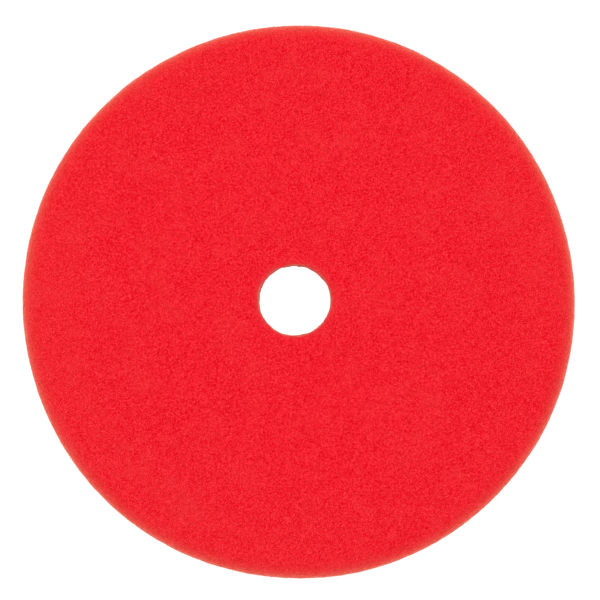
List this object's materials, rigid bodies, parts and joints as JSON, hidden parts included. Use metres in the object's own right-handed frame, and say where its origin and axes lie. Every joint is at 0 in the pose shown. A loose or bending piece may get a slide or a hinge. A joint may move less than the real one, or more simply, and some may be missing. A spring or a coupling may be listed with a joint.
{
  "type": "foam polishing pad",
  "caption": "Round red foam polishing pad with a rounded rim, a centre hole and a loop backing for a hook-faced plate.",
  "frame": {"origin": "centre of the loop backing's lower face, on the axis of the foam disc's outside", "axes": "+Z along the pad's axis, from the loop backing towards the working face; +X and +Y lie in the loop face, with the punched hole's centre 0.95 mm towards -X and 0.49 mm towards +Y"},
  "size_m": [0.15, 0.15, 0.025],
  "materials": {
    "foam": "matte open-cell polyurethane foam",
    "hot_melt": "satin",
    "loop_fabric": "matte knitted loop pile"
  },
  "bodies": {
    "root": {"foam_disc": "foam", "adhesive_film": "hot_melt", "loop_backing": "loop_fabric"}
  },
  "joints": []
}
